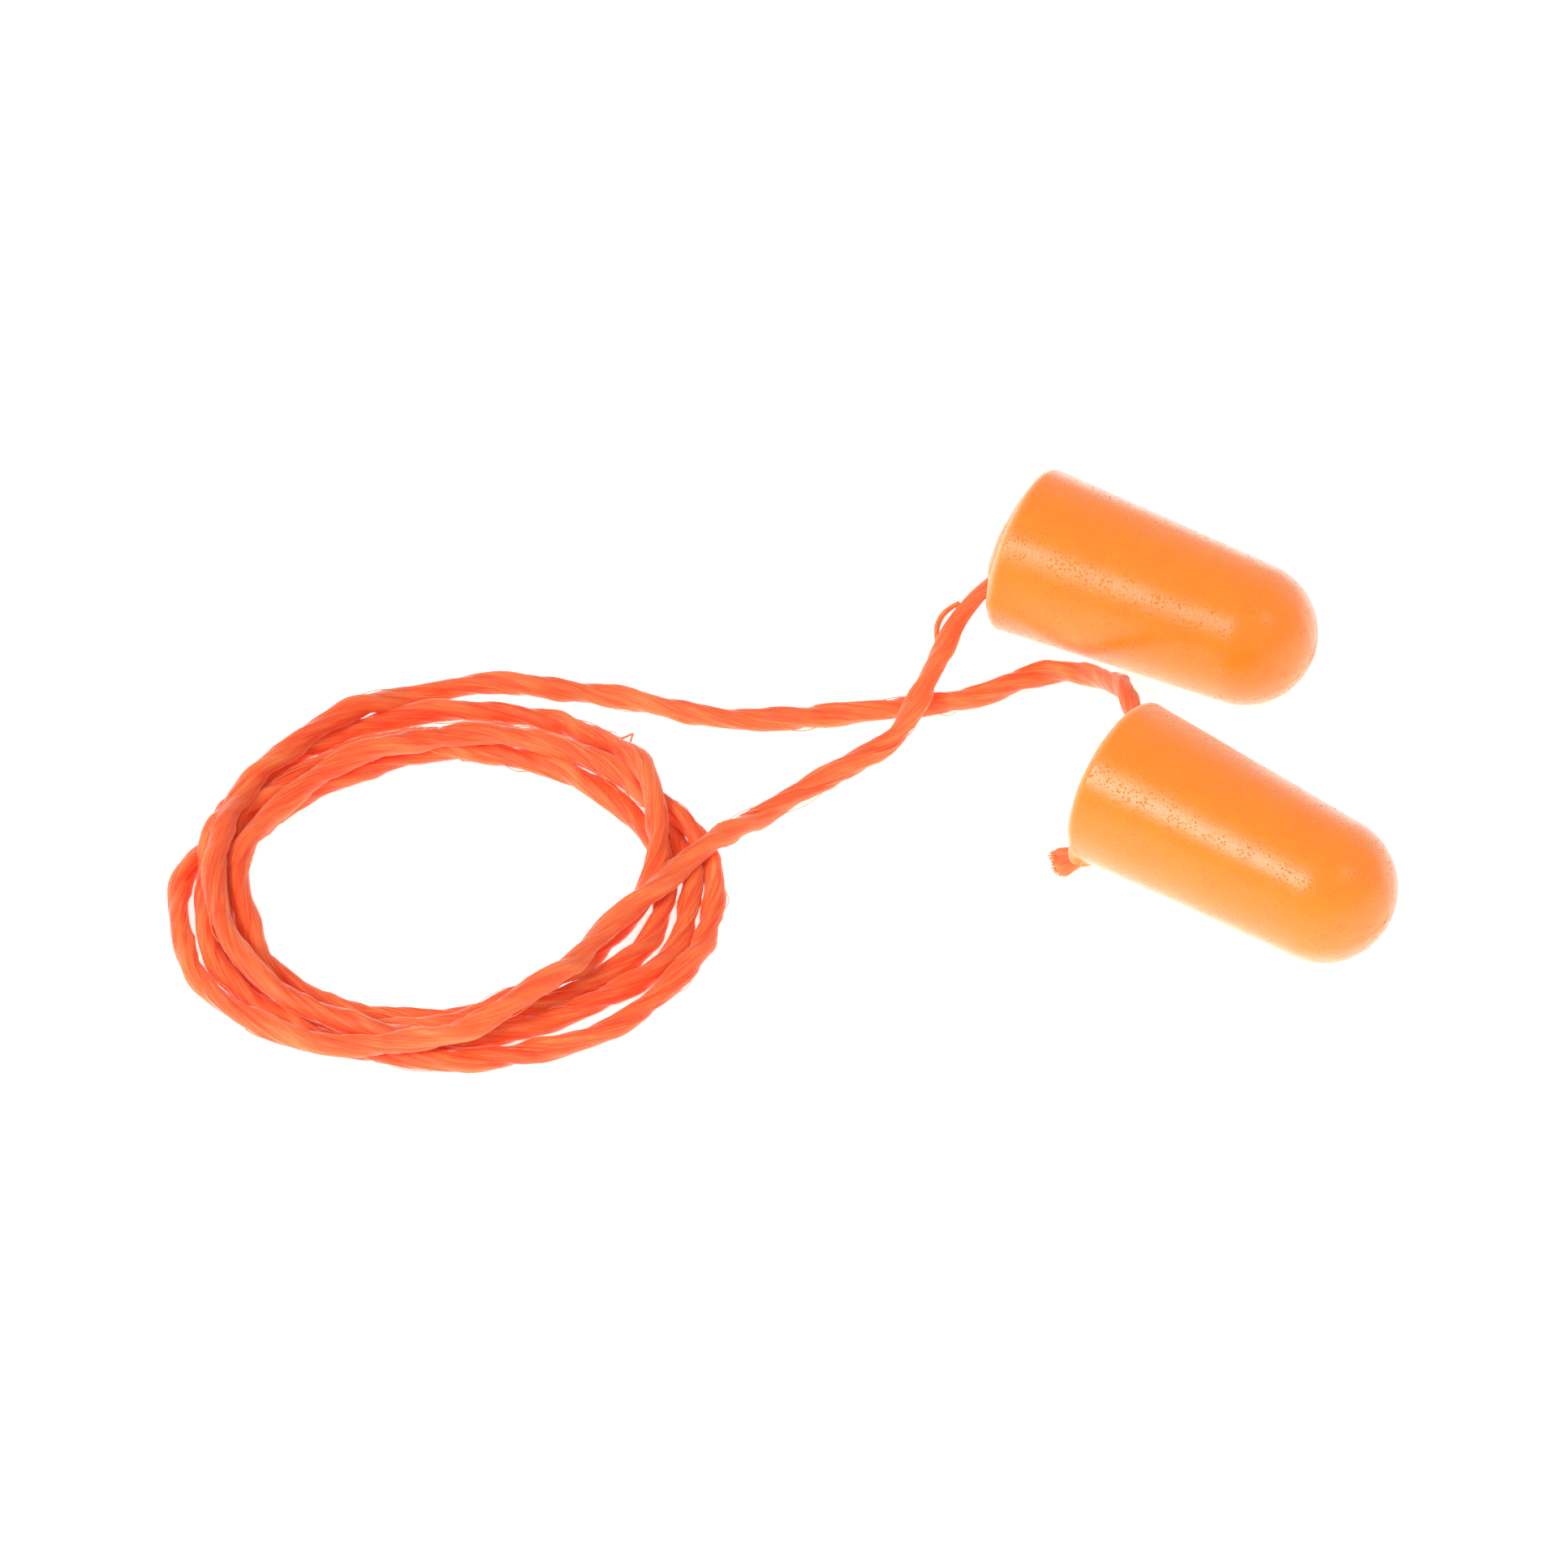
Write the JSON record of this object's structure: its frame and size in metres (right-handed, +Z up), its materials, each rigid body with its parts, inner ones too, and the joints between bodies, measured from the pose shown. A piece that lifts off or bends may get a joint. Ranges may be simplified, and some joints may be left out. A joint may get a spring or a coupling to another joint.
{
  "type": "corded foam ear plugs",
  "caption": "Tapered soft-foam ear plugs with domed tips, joined by a twisted cord threaded through a curved hole near each base; the middle of the cord lies coiled beside them.",
  "frame": {"origin": "on the table, under the middle of the box round the two foam plugs as they lie (the cord is left out of that box)", "axes": "+Z up from the table; +Y away from the viewer; +X to the viewer's right, so the coil of cord lies at -X"},
  "size_m": [0.0916, 0.0585, 0.0129],
  "materials": {
    "foam": "satin open-pored foam",
    "cord": "soft twisted filament yarn"
  },
  "bodies": {
    "cord": {"cord_coil": "cord", "cord_lead_far": "cord", "cord_lead_near": "cord"},
    "neck_far": {"cord_neck_far": "cord"},
    "neck_near": {"cord_neck_near": "cord"},
    "plug_far": {"foam_plug_far": "foam", "cord_anchor_far": "cord", "cord_tail_far": "cord"},
    "plug_near": {"foam_plug_near": "foam", "cord_anchor_near": "cord", "cord_tail_near": "cord"}
  },
  "joints": [
    {"name": "far_swing", "type": "hinge", "parent": "cord", "child": "neck_far", "pos_m": [-0.0164, 0.0141, 0.0043], "axis": [0, 0, 1], "range_deg": [0, 60]},
    {"name": "far_tilt", "type": "hinge", "parent": "neck_far", "child": "plug_far", "pos_m": [-0.01426, 0.01396, 0.00649], "axis": [-0.4462, -0.8949, 0], "range_deg": [0, 40]},
    {"name": "near_swing", "type": "hinge", "parent": "cord", "child": "neck_near", "pos_m": [-0.0044, -0.0019, 0.0093], "axis": [0, 0, 1], "range_deg": [-45, 30]},
    {"name": "near_tilt", "type": "hinge", "parent": "neck_near", "child": "plug_near", "pos_m": [-0.004, -0.00483, 0.0096], "axis": [-0.5664, -0.8241, 0], "range_deg": [0, 40]}
  ]
}
